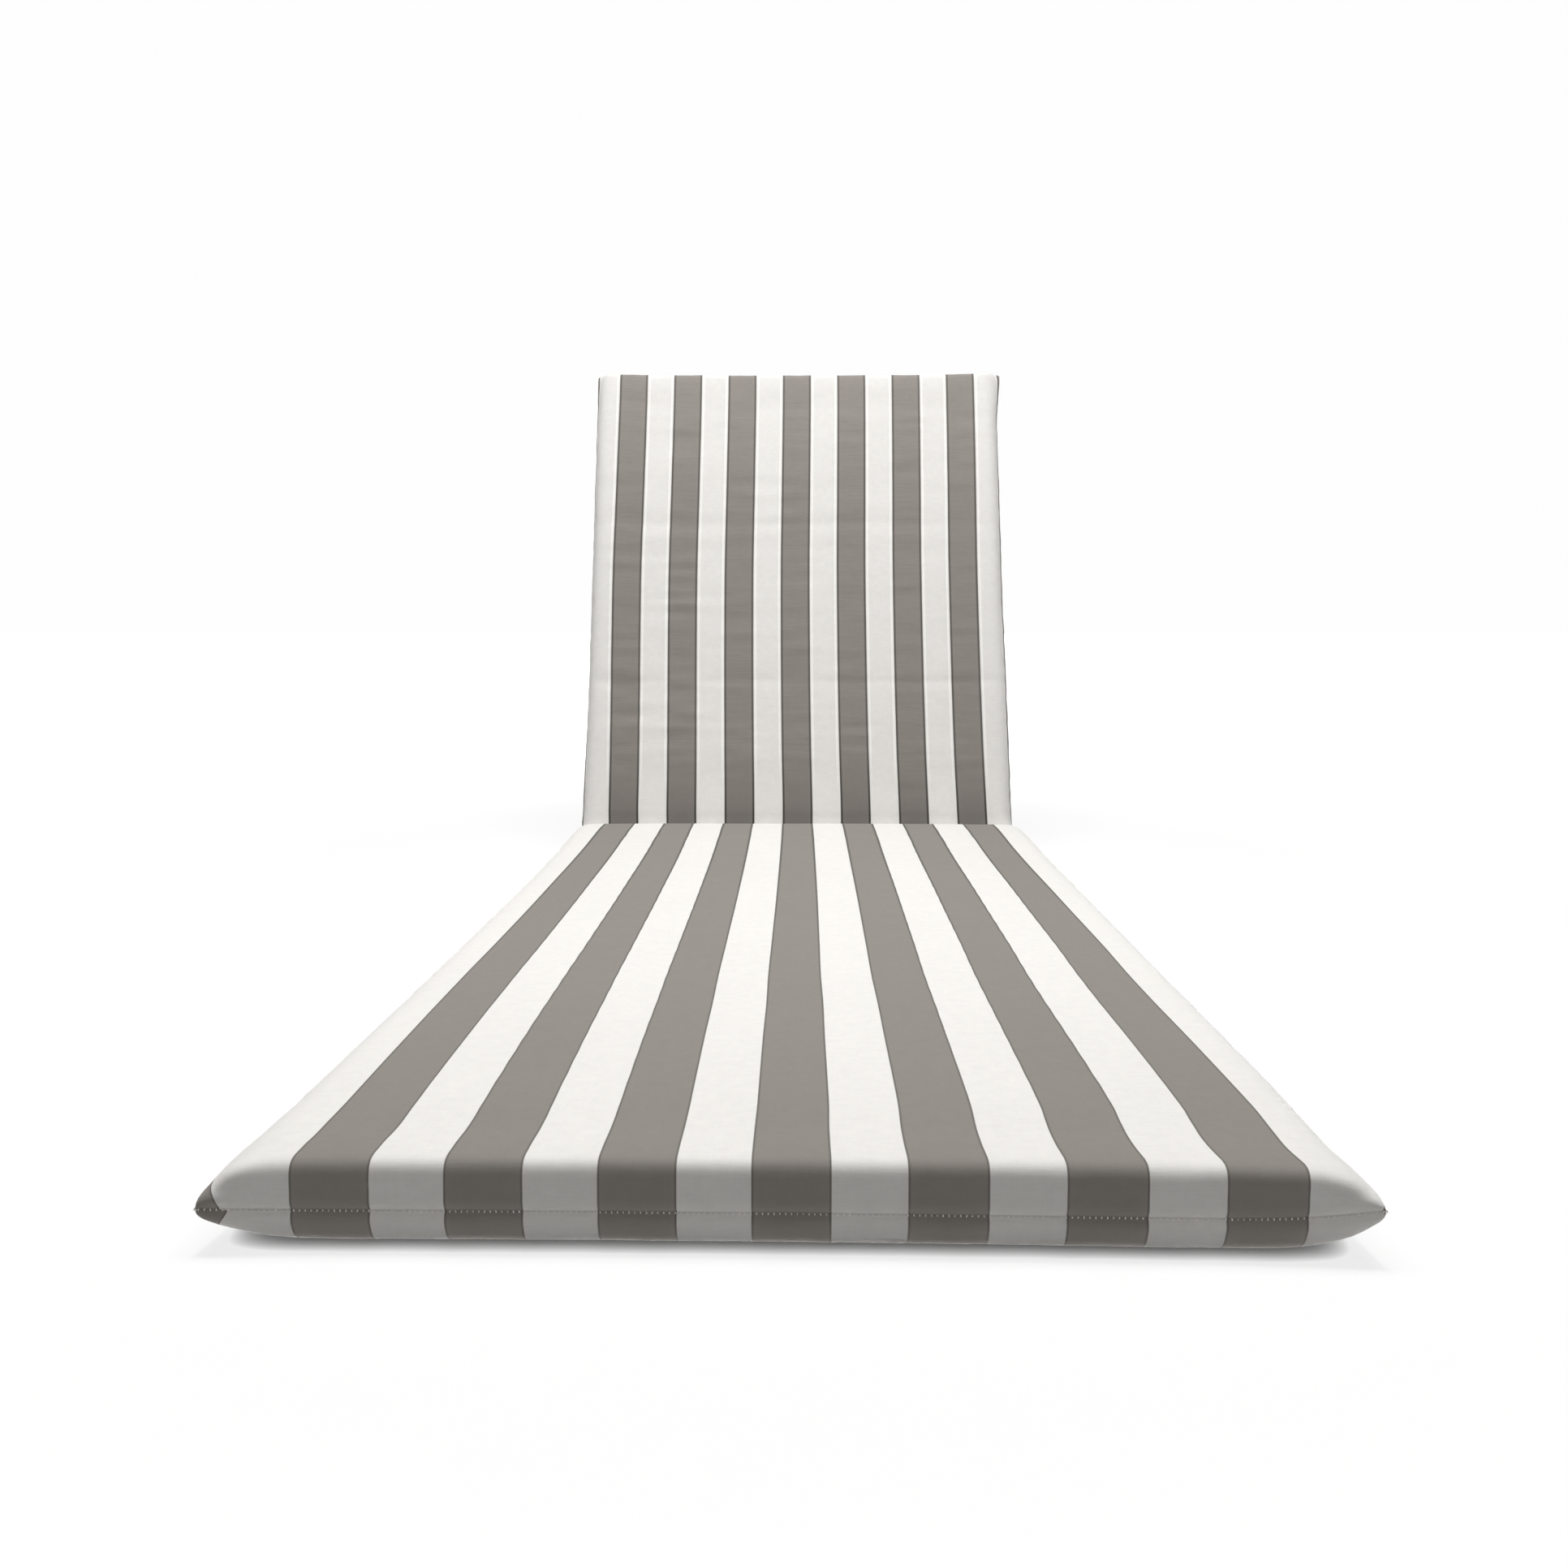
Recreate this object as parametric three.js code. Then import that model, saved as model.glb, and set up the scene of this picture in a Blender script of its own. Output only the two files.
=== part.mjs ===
// Sun lounger cushion: two striped panels sewn together round a slab of filling, bent into a seat and a
// raised back. Millimetres, +Z up. X runs across, the foot end faces -Y, and the seat lies flat on Z = 0.
import * as THREE from "three";
import { mergeVertices } from "three/addons/utils/BufferGeometryUtils.js";

// Driving dimensions
const SEAT_LENGTH = 1210; // foot end to the bend, along the middle of the thickness
const BACK_LENGTH = 690; // bend to head end
const BACK_LEAN = THREE.MathUtils.degToRad(18.3); // behind the vertical
const BEND_RADIUS = 45; // of the middle surface, at the bend
const SEAM_HEIGHT = 26; // of the side seam over the floor
const CROWN = 1.5; // how much lower the upper face is at its sides than along its middle
const END_DRAWN_IN = 2.5; // how far the middle of each end is drawn in
const FOOT_SKEW = 4; // how much farther out the foot end is at its right than in its middle

// The rounded edge between a face and the seam is a quarter of a superellipse, and this is how far in from
// the seam it reaches. At a corner, where the filling thins out, it is the same for both panels.
const UPPER_REACH = 25;
const LOWER_REACH = 21;
const CORNER_REACH = 46;
const EDGE_POWER = 2.5;
const END_POWER = 6; // the upper panel's edge is squarer at the foot and the head
const END_CROWDING = 2; // how much closer together the steps of such an edge are near the seam
const EDGE_STEPS = 7;

// A corner stands out as an ear, and fades along both of its edges.
const EAR_LENGTH = 30;
const EAR_POWER = 1.3;
const CORNER_LENGTH = 35; // how far along an edge the thinner filling is felt
const SQUARE_FROM = 9; // from this far off a corner the squarer edge has taken over

// Ears: how far each stands out sideways and past the end, and how much lower than the side seams it is.
const EARS = {
  foot: { left: { aside: 10, beyond: 5, lower: 2 }, right: { aside: 7, beyond: 4, lower: -3 } },
  head: { left: { aside: 3, beyond: 3 }, right: { aside: 7, beyond: 5 } },
};
const FOOT_SEAM_LOWER = 4.5; // how much lower the foot's seam is between its ears

// Cross sections: distance from the foot end, half width to the seam on each side, and how far the upper and
// the lower face are from the middle surface. The upper face swells before the fold and dips into it.
const SECTIONS = [
  { at: 0, left: 299.5, right: 293, above: 24, below: 26 },
  { at: 160, left: 298, right: 297, above: 24.6, below: 26 },
  { at: 450, left: 296.5, right: 300, above: 23.6, below: 26 },
  { at: 800, left: 295.5, right: 303, above: 24, below: 26 },
  { at: 955, left: 296, right: 303.5, above: 26, below: 26 },
  { at: 1030, left: 297, right: 304, above: 28.1, below: 26 },
  { at: 1091, left: 298, right: 304, above: 29.4, below: 26 },
  { at: 1135, left: 299, right: 304, above: 28.1, below: 26 },
  { at: 1163, left: 299, right: 303, above: 23.5, below: 26 },
  { at: 1178, left: 299, right: 301, above: 17, below: 26 },
  { at: 1189, left: 298, right: 299, above: 6, below: 25 },
  { at: 1197, left: 298, right: 298, above: 13.8, below: 24 },
  { at: 1206, left: 298, right: 298, above: 18.7, below: 23.5 },
  { at: 1217, left: 299, right: 298, above: 22, below: 24 },
  { at: 1225, left: 299, right: 298, above: 23.4, below: 24.5 },
  { at: 1234, left: 299, right: 298, above: 24, below: 25 },
  { at: 1400, left: 296, right: 297, above: 24, below: 25 },
  { at: 1570, left: 296, right: 294.5, above: 26, below: 25 },
  { at: 1720, left: 296, right: 294.5, above: 27, below: 25 },
  { at: 1815, left: 296, right: 294, above: 25.5, below: 25 },
  { at: 1891, left: 295, right: 294, above: 24, below: 25 },
];

// Soft crosswise creases in the upper face of the back: distance from the foot end, depth and half width.
const CREASES = [
  { at: 1419, depth: 0.6, half: 10 },
  { at: 1609, depth: 0.4, half: 14 },
  { at: 1653, depth: 0.7, half: 12 },
  { at: 1709, depth: 0.4, half: 14 },
];

// How closely the surface is divided
const COLUMNS_BETWEEN_EDGES = 8;
const FIRST_PLAIN_ROW = 80; // from either end, clear of its rounding
const ROLL_START = 1030; // where the upper face has begun to swell before the fold
const CREASE_CLEARANCE = 1.8; // a plain row keeps this many half widths away from the middle of a crease
const SEAT_ROW = 90;
const ROLL_ROW = 15;
const BEND_ROW = 7;
const BACK_ROW = 55;

// Lengths that follow from the driving dimensions
const BEND_ANGLE = Math.PI / 2 - BACK_LEAN;
const TANGENT = BEND_RADIUS * Math.tan(BEND_ANGLE / 2);
const BEND_START = SEAT_LENGTH - TANGENT;
const BEND_END = BEND_START + BEND_RADIUS * BEND_ANGLE;
const TOTAL_LENGTH = BEND_END + BACK_LENGTH - TANGENT;

// The middle surface seen from the side: level along the seat, an arc, then straight up the leaning back.
function middleAt(distance) {
  const turned = THREE.MathUtils.clamp((distance - BEND_START) / BEND_RADIUS, 0, BEND_ANGLE);
  const before = Math.min(distance, BEND_START);
  const after = Math.max(distance - BEND_END, 0);
  return {
    y: before + BEND_RADIUS * Math.sin(turned) + after * Math.cos(BEND_ANGLE),
    z: SEAM_HEIGHT + BEND_RADIUS * (1 - Math.cos(turned)) + after * Math.sin(BEND_ANGLE),
    turned,
  };
}

// A column of SECTIONS at any distance, by a smooth curve through its rows that never swings past them.
function sectionAt(distance, column) {
  const last = SECTIONS.length - 1;
  const here = THREE.MathUtils.clamp(distance, SECTIONS[0].at, SECTIONS[last].at);
  const next = SECTIONS.findIndex((row, i) => i > 0 && row.at >= here);
  const rate = (i) => {
    const { at, [column]: from } = SECTIONS[i];
    return (SECTIONS[i + 1][column] - from) / (SECTIONS[i + 1].at - at);
  };
  const slope = (i) => {
    if (i === 0 || i === last || rate(i - 1) * rate(i) <= 0) return 0;
    return (2 * rate(i - 1) * rate(i)) / (rate(i - 1) + rate(i));
  };
  const a = SECTIONS[next - 1];
  const b = SECTIONS[next];
  const span = b.at - a.at;
  const t = (here - a.at) / span;
  const blend = t * t * (3 - 2 * t);
  const leaving = t * (1 - t) * (1 - t) * span * slope(next - 1);
  const arriving = t * t * (1 - t) * span * slope(next);
  return a[column] * (1 - blend) + b[column] * blend + leaving - arriving;
}

function creaseDepth(distance) {
  const depthOf = ({ at, depth, half }) => depth * Math.exp(-(((distance - at) / half) ** 2));
  return CREASES.reduce((sum, crease) => sum + depthOf(crease), 0);
}

// Steps over the rounded edge, from the seam to the flat face: how far in, and how far up.
function makeEdgeSteps(power, crowding) {
  return Array.from({ length: EDGE_STEPS }, (_, i) => {
    const angle = (Math.PI / 2) * (i / (EDGE_STEPS - 1)) ** crowding;
    const full = i === EDGE_STEPS - 1;
    return {
      inset: full ? 1 : 1 - Math.cos(angle) ** (2 / power),
      rise: full ? 1 : Math.sin(angle) ** (2 / power),
    };
  });
}

const edgeSteps = makeEdgeSteps(EDGE_POWER, 1);
const squareSteps = makeEdgeSteps(END_POWER, END_CROWDING);

const nearEar = (distance) => Math.exp(-((distance / EAR_LENGTH) ** EAR_POWER));
const nearCorner = (distance) => Math.exp(-((distance / CORNER_LENGTH) ** 2));
const reachAt = (edgeReach, distance) => THREE.MathUtils.lerp(edgeReach, CORNER_REACH, nearCorner(distance));

// Rows from foot to head: those on a rounded end hold their inset, the others their distance from the foot.
function makeRows() {
  const spread = (from, to, step) => {
    const count = Math.round((to - from) / step);
    return Array.from({ length: count }, (_, i) => from + ((to - from) * i) / count);
  };
  const seatRows = spread(FIRST_PLAIN_ROW, ROLL_START, SEAT_ROW);
  const rollRows = spread(ROLL_START, BEND_START, ROLL_ROW);
  const bendRows = spread(BEND_START, BEND_END, BEND_ROW);
  const backEnd = TOTAL_LENGTH - FIRST_PLAIN_ROW;
  const plainRows = spread(BEND_END, backEnd, BACK_ROW).concat(backEnd);
  const isClear = (row) => CREASES.every(({ at, half }) => Math.abs(row - at) > CREASE_CLEARANCE * half);
  const clearRows = plainRows.filter(isClear);
  const creaseRows = CREASES.flatMap(({ at, half }) => [at - half, at, at + half]);
  const backRows = clearRows.concat(creaseRows).sort((a, b) => a - b);
  const middle = [...seatRows, ...rollRows, ...bendRows, ...backRows];
  const foot = edgeSteps.map((step, i) => {
    return { end: "foot", ...step, square: squareSteps[i], distance: step.inset * UPPER_REACH };
  });
  const head = foot.map((row) => ({ ...row, end: "head", distance: TOTAL_LENGTH - row.distance }));
  return [...foot, ...middle.map((distance) => ({ distance })), ...head.reverse()];
}

// Columns from left to right: those on a rounded side hold their inset, the others their share of the way.
function makeColumns() {
  const left = edgeSteps.map((step) => ({ side: "left", ...step }));
  const right = edgeSteps.map((step) => ({ side: "right", ...step }));
  const between = Array.from({ length: COLUMNS_BETWEEN_EDGES - 1 }, (_, i) => ({
    rise: 1,
    share: (i + 1) / COLUMNS_BETWEEN_EDGES,
  }));
  return [...left, ...between, ...right.reverse()];
}

// How far in and how far up a row on an end is: squarer in the upper panel, but at a corner alike in both.
function endForm(row, upper, edgeReach, fromSide) {
  const inset = row.inset * reachAt(edgeReach, fromSide);
  if (!upper) return { inset, rise: row.rise };
  const atCorner = Math.exp(-((fromSide / SQUARE_FROM) ** 2));
  return {
    inset: THREE.MathUtils.lerp(row.square.inset * UPPER_REACH, inset, atCorner),
    rise: THREE.MathUtils.lerp(row.square.rise, row.rise, atCorner),
  };
}

// How far the seam hangs below the middle surface: only at the foot, and fading along the sides.
function seamDrop(distance, side, fromSide) {
  const drop = THREE.MathUtils.lerp(FOOT_SEAM_LOWER, EARS.foot[side].lower, nearEar(fromSide));
  return drop * nearCorner(Math.max(distance, 0));
}

// Where a row and a column meet on the middle surface: distance from the foot end, and x across.
function placeOf(row, column, upper) {
  const edgeReach = upper ? UPPER_REACH : LOWER_REACH;
  const fromFoot = row.distance;
  const fromHead = TOTAL_LENGTH - row.distance;
  const halfWidth = (side) =>
    sectionAt(row.distance, side) +
    EARS.foot[side].aside * nearEar(fromFoot) +
    EARS.head[side].aside * nearEar(fromHead);
  const reach = reachAt(edgeReach, Math.min(fromFoot, fromHead));
  const flatLeft = reach - halfWidth("left");
  const flatRight = halfWidth("right") - reach;
  const across = {
    left: reach * column.inset - halfWidth("left"),
    right: halfWidth("right") - reach * column.inset,
  };
  const x = column.side ? across[column.side] : THREE.MathUtils.lerp(flatLeft, flatRight, column.share);
  const side = x < 0 ? "left" : "right";
  const share = x / halfWidth(side);
  const fromSide = halfWidth(side) - Math.abs(x);
  const drop = seamDrop(row.distance, side, fromSide);
  if (!row.end) return { distance: row.distance, x, share, rise: 1, drop };

  const inward = row.end === "foot" ? 1 : -1;
  const end = row.end === "foot" ? 0 : TOTAL_LENGTH;
  const skewed = row.end === "foot" ? FOOT_SKEW * share : 0;
  const standsOut = EARS[row.end][side].beyond * nearEar(fromSide) + skewed;
  const drawnIn = END_DRAWN_IN * (1 - share * share) - standsOut;
  const { inset, rise } = endForm(row, upper, edgeReach, fromSide);
  const distance = end + inward * (drawnIn + inset);
  return { distance, x, share, rise, drop };
}

// A point of the upper or the lower panel. Both meet in the seam, where the rise is nothing.
function panelPoint(row, column, upper) {
  const { distance, x, share, rise, drop } = placeOf(row, column, upper);
  const above = sectionAt(distance, "above") - CROWN * share * share - creaseDepth(distance);
  const height = upper ? above : -sectionAt(distance, "below");
  const away = THREE.MathUtils.lerp(-drop, height, rise * column.rise);
  const { y, z, turned } = middleAt(distance);
  return [x, y - away * Math.sin(turned), z + away * Math.cos(turned)];
}

// Both panels as one closed surface, with the faces pointing out.
function makeCushion() {
  const rows = makeRows();
  const columns = makeColumns();
  const positions = [];
  const triangles = [];
  for (const upper of [true, false]) {
    const first = positions.length / 3;
    rows.forEach((row) => columns.forEach((column) => positions.push(...panelPoint(row, column, upper))));
    for (let i = 0; i < rows.length - 1; i += 1) {
      for (let j = 0; j < columns.length - 1; j += 1) {
        const a = first + i * columns.length + j;
        const b = a + 1;
        const c = b + columns.length;
        const d = a + columns.length;
        if (upper) triangles.push(a, b, c, a, c, d);
        else triangles.push(a, c, b, a, d, c);
      }
    }
  }
  const geometry = new THREE.BufferGeometry();
  geometry.setAttribute("position", new THREE.Float32BufferAttribute(positions, 3));
  geometry.setIndex(triangles);
  return mergeVertices(geometry);
}

// The origin is under the middle of the whole cushion, on the floor.
function centreOnFloor(geometry) {
  geometry.computeBoundingBox();
  const { min, max } = geometry.boundingBox;
  geometry.translate(-(min.x + max.x) / 2, -(min.y + max.y) / 2, -min.z);
  return geometry;
}

const clothMaterial = new THREE.MeshStandardMaterial({ color: "#c9c4bd", roughness: 0.9, metalness: 0 });

const loungerCushion = new THREE.Group();
const cushion = new THREE.Mesh(centreOnFloor(makeCushion()), clothMaterial);
cushion.name = "cushion";
loungerCushion.add(cushion);

export default loungerCushion;
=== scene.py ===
"""Sun lounger cushion: striped canvas sewn round a slab of filling, bent into a seat and a raised back.

Metres, +Z up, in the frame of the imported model: X across, the foot end faces -Y, and the seat lies on Z = 0.
"""

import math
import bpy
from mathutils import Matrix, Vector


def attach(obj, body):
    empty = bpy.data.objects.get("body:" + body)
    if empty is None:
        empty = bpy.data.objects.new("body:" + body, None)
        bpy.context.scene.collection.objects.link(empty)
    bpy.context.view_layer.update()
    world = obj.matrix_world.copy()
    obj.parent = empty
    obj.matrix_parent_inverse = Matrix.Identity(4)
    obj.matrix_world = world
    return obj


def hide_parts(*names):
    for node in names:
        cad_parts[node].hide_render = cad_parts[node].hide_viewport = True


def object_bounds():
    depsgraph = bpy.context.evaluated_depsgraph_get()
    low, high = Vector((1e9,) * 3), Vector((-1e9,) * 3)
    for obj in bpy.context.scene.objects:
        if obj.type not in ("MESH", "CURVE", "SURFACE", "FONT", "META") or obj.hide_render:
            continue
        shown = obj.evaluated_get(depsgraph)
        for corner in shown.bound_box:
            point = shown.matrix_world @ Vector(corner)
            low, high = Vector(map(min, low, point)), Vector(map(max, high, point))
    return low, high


bl_info = {
    "name": "Sun Lounger Cushion",
    "version": (1, 0, 0),
    "blender": (4, 5, 0),
    "location": "3D View > Sidebar > Lounger",
    "description": "Pads, stripes and sews a sun lounger cushion, and sets it in a pale studio",
    "category": "Object",
}

import bpy
import numpy as np

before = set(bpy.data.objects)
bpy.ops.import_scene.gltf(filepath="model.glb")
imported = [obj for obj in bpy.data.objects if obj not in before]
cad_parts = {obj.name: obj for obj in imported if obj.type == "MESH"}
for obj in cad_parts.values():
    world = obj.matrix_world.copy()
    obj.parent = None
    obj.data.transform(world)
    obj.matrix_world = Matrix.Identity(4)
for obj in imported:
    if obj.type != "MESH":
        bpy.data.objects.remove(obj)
CAD_LOW, CAD_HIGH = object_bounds()

MM = 0.001

# Driving dimensions of the slab, the same as in the solid
SEAT_LENGTH = 1210 * MM
BACK_LENGTH = 690 * MM
BACK_LEAN = math.radians(18.3)
BEND_RADIUS = 45 * MM
SEAM_HEIGHT = 26 * MM
CROWN = 1.5 * MM
END_DRAWN_IN = 2.5 * MM
FOOT_SKEW = 4 * MM
UPPER_REACH = 25 * MM
LOWER_REACH = 21 * MM
CORNER_REACH = 46 * MM
EDGE_POWER = 2.5
END_POWER = 6
EAR_LENGTH = 30 * MM
EAR_POWER = 1.3
CORNER_LENGTH = 35 * MM
SQUARE_FROM = 9 * MM
FOOT_SEAM_LOWER = 4.5 * MM

# How far each corner stands out sideways and past the end, and how much lower it is: left and right
FOOT_EARS = {"aside": (10 * MM, 7 * MM), "beyond": (5 * MM, 4 * MM), "lower": (2 * MM, -3 * MM)}
HEAD_EARS = {"aside": (3 * MM, 7 * MM), "beyond": (3 * MM, 5 * MM)}

# Cross sections: distance from the foot end, half width to the seam on each side, and how far the upper and
# the lower face are from the middle surface. The tables are in millimetres.
SECTION_COLUMNS = ("at", "left", "right", "above", "below")
SECTIONS = MM * np.array([
    (0, 299.5, 293, 24, 26),
    (160, 298, 297, 24.6, 26),
    (450, 296.5, 300, 23.6, 26),
    (800, 295.5, 303, 24, 26),
    (955, 296, 303.5, 26, 26),
    (1030, 297, 304, 28.1, 26),
    (1091, 298, 304, 29.4, 26),
    (1135, 299, 304, 28.1, 26),
    (1163, 299, 303, 23.5, 26),
    (1178, 299, 301, 17, 26),
    (1189, 298, 299, 6, 25),
    (1197, 298, 298, 13.8, 24),
    (1206, 298, 298, 18.7, 23.5),
    (1217, 299, 298, 22, 24),
    (1225, 299, 298, 23.4, 24.5),
    (1234, 299, 298, 24, 25),
    (1400, 296, 297, 24, 25),
    (1570, 296, 294.5, 26, 25),
    (1720, 296, 294.5, 27, 25),
    (1815, 296, 294, 25.5, 25),
    (1891, 295, 294, 24, 25),
])

# How far the stripes have wandered to the right: distance from the foot end, and the shift at the left, in
# the middle and at the right. The left and right ones hold from the span onwards.
WANDER_COLUMNS = ("at", "left", "middle", "right")
WANDER_SPAN = 220 * MM
WANDER = MM * np.array([
    (0, -0.5, -1.5, 1.5),
    (12, 0, -1.5, 0.8),
    (25, 0.3, -1.5, -0.3),
    (50, 0.7, -1.5, 0.5),
    (90, 1.5, -1.0, 2.0),
    (200, 1.0, -1.0, 1.5),
    (290, 0.5, -0.5, 1.0),
    (370, 0.5, -1.0, 1.5),
    (480, 1.5, -0.5, 3.0),
    (690, 2.5, 0.5, 3.5),
    (1000, 2.5, 1.0, 2.5),
    (1150, 2.0, 0.5, 2.5),
    (1225, 0.0, 1.0, 1.5),
    (1330, -1.0, -1.0, -1.0),
    (1460, -3.0, -2.5, -2.5),
    (1580, -4.0, -3.0, -3.0),
    (1710, -2.5, -2.0, -2.0),
    (1860, -1.5, -1.0, -1.0),
])

# Soft crosswise creases in the upper face of the back: distance from the foot end, depth and half width
CREASES = MM * np.array([(1419, 0.6, 10), (1609, 0.4, 14), (1653, 0.7, 12), (1709, 0.4, 14)])

# The thin fold lines that packing has left in the canvas: distance from the foot end, depth and half width
FOLD_LINES = MM * np.array([(1419, 0.35, 2.2), (1653, 0.3, 2.2)])

# Lengths that follow from the driving dimensions
BEND_ANGLE = math.pi / 2 - BACK_LEAN
TANGENT = BEND_RADIUS * math.tan(BEND_ANGLE / 2)
BEND_START = SEAT_LENGTH - TANGENT
BEND_END = BEND_START + BEND_RADIUS * BEND_ANGLE
TOTAL_LENGTH = BEND_END + BACK_LENGTH - TANGENT

# How closely the surface is divided: its rows by the edge, and stretches of rows, with their start, end and
# spacing. A crowding over 1 sets an edge's rows closer to the seam.
FIRST_PLAIN_ROW = 80 * MM
EDGE_ROWS = 12
EDGE_CROWDING = 1.6
END_CROWDING = 3.6
ROW_STRETCHES = (
    (UPPER_REACH, FIRST_PLAIN_ROW, 11 * MM),
    (FIRST_PLAIN_ROW, 1030 * MM, 20 * MM),
    (1030 * MM, 1150 * MM, 8 * MM),
    (1150 * MM, BEND_END, 3.5 * MM),
    (BEND_END, TOTAL_LENGTH - FIRST_PLAIN_ROW, 8 * MM),
    (TOTAL_LENGTH - FIRST_PLAIN_ROW, TOTAL_LENGTH - UPPER_REACH, 11 * MM),
)
COLUMNS_BETWEEN_EDGES = 42
FINE_STEPS = 2

# How far right the middle stripe lies, and from one dark stripe to the next
STRIPE_MIDDLE = 2.75 * MM
STRIPE_REPEAT = 80 * MM

# Where the canvas is held as it is filled, and where it is quite free: from the seam and from the fold
FREE_FROM = 38 * MM
FREE_BEYOND = 90 * MM
FOLD_AT = 1193 * MM
FOLD_HELD = 30 * MM
FOLD_FREE = 110 * MM

# The same over the floor, for the filling and for the surface detail: held up to, and free from
FLOOR_FILLING = (1 * MM, 12 * MM)
FLOOR_DETAIL = (0.2 * MM, 4 * MM)

# How firmly the filling holds the free canvas, how far it may move, and how the canvas behaves as cloth
FILLING_HOLD = 0.3
MOST_MOVED = 5 * MM
SIM_FRAMES = 20
CLOTH = {
    "quality": 4,
    "mass": 0.15,
    "tension_stiffness": 12,
    "compression_stiffness": 12,
    "shear_stiffness": 4,
    "bending_stiffness": 0.4,
    "use_pressure": True,
}

# Unevenness of the canvas: pitch across and along, how strong it is, and the seed of its noise
UNEVENNESS = {
    "gathers": (9 * MM, 9 * MM, 1.0, 11),
    "ripples": (45 * MM, 9 * MM, 1.1, 5),
    "patches": (60 * MM, 70 * MM, 1.0, 6),
    "fine_ripples": (26 * MM, 8 * MM, 0.5, 7),
    "swell": (110 * MM, 130 * MM, 0.8, 8),
}
NOISE_CELLS = 97
NOISE_GAIN = 2.2

# The roll of canvas beside the seam, as a share of the seam's depth: how high, where and how wide
ROLL_SHARE = 0.35
ROLL_AT = 6 * MM
ROLL_WIDTH = 3 * MM

# How far from the seam the gathers start and end, and where the ripples start
GATHERS_START = (1 * MM, 5 * MM)
GATHERS_END = (12 * MM, 34 * MM)
RIPPLES_START = (10 * MM, 45 * MM)

# The ripples are plainest in the dark stripes: their share elsewhere, and where beside a stripe's middle they
# are weakest and at full height
RIPPLES_ELSEWHERE = 0.3
RIPPLES_FADE = (26 * MM, 14 * MM)

# How far the cloth at the foot's corners is sewn over to the right, on the upper and the lower panel, and how
# wide a strip beside the seam: left and right. It starts and is full that far from the middle stripe.
TUCKS = {"upper": (0.5 * MM, 4.5 * MM), "lower": (3.5 * MM, 8 * MM), "width": (5 * MM, 14 * MM)}
TUCK_FROM = 262 * MM
TUCK_FULL = 300 * MM

# The canvas's colour: how soft a stripe's edge is, and where thin lines lie beside it at the foot, inwards
# and outwards. At the fold distances from the edge count less, so the lines are wider.
STRIPE_EDGE = 0.3 * MM
DARK_LINE_AT = -0.6 * MM
BRIGHT_LINE_AT = 1.1 * MM
LINE_SCALE_AT_FOLD = 0.4
LINE_EDGES = (0.9 * MM, 0.1 * MM)
# Where the painted shade along the seam starts and where it is full, from the seam
SEAM_SHADE_EDGES = (0.9 * MM, 0.2 * MM)

# How far past the bend the back starts, from where the dark stripes take painted light, lighter towards the
# head, and how far over the fold their painted shade starts and ends
BACK_STARTS = 80 * MM
PAINTED_LIGHT_FROM = FOLD_AT + 460 * MM
FOLD_LINE = 4 * MM
FOLD_SHADE = 130 * MM

# How much brighter or darker each of these is. The lines beside the stripes' edges are in the cloth; the
# head's is painted light, and the fold's and the seam's are painted shade.
SHADES = {
    "dark_line": -0.40,
    "dark_line_at_fold": -0.18,
    "bright_line": 0.17,
    "head": 0.14,
    "fold": -0.23,
    "seam_painted_shade": -0.22,
}

# Heights in the canvas's bump beside that of its uneven yarn, and the wrinkles' share in the light stripes
WEAVE_HEIGHT = 0.25
WRINKLE_HEIGHT = 5.5
WRINKLES_IN_LIGHT = 0.25

# How much the stitches lean, and how their lengths vary
STITCH_LEAN = 0.25
STITCH_LENGTHS = (0.7, 1.15)

# The studio in metres: the floor's half size, and from where to where it glows more. Beside and under the
# cushion ambient occlusion leaves only a share of the glow, a painted contact shadow.
FLOOR_HALF = 30.0
FLOOR_BRIGHTENS = (0.8, 2.2)
FLOOR_GLOWS_MORE = 0.4
GLOW_IN_PAINTED_SHADOW = 0.07
FILL_COLOUR = (1.0, 0.985, 0.97, 1.0)
BACKDROP_COLOUR = (0.99, 0.99, 0.99, 1.0)


def length_setting(name, description, default):
    return bpy.props.FloatProperty(name=name, description=description, default=default, unit="LENGTH")


def angle_setting(name, description, default):
    return bpy.props.FloatProperty(name=name, description=description, default=default, subtype="ANGLE")


def strength_setting(name, description, default):
    return bpy.props.FloatProperty(name=name, description=description, default=default, min=0.0)


def colour_setting(name, description, default):
    return bpy.props.FloatVectorProperty(name=name, description=description, default=default, subtype="COLOR")


class LoungerCushionSizes(bpy.types.PropertyGroup):
    filling_pressure: strength_setting("Filling Pressure", "How hard the filling presses the canvas out", 8.0)
    drawn_in: length_setting("Drawn In", "How far the canvas is drawn in before it is filled", 2.2 * MM)
    groove_depth: length_setting("Seam Depth", "How far the seam is pulled in", 1.3 * MM)
    groove_width: length_setting("Seam Width", "Half width of the dip along the seam", 2.2 * MM)
    ripple_height: length_setting("Ripple Height", "Height of the soft ripples across the back", 0.7 * MM)
    pucker_height: length_setting("Pucker Height", "Height of the gathers along the seam", 0.3 * MM)
    stitch_pitch: length_setting("Stitch Pitch", "From one stitch to the next", 3 * MM)
    stitch_length: length_setting("Stitch Length", "How much of a stitch shows across the seam", 1.5 * MM)
    thread_width: length_setting("Thread Width", "Thickness of the sewing thread", 0.75 * MM)


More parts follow.
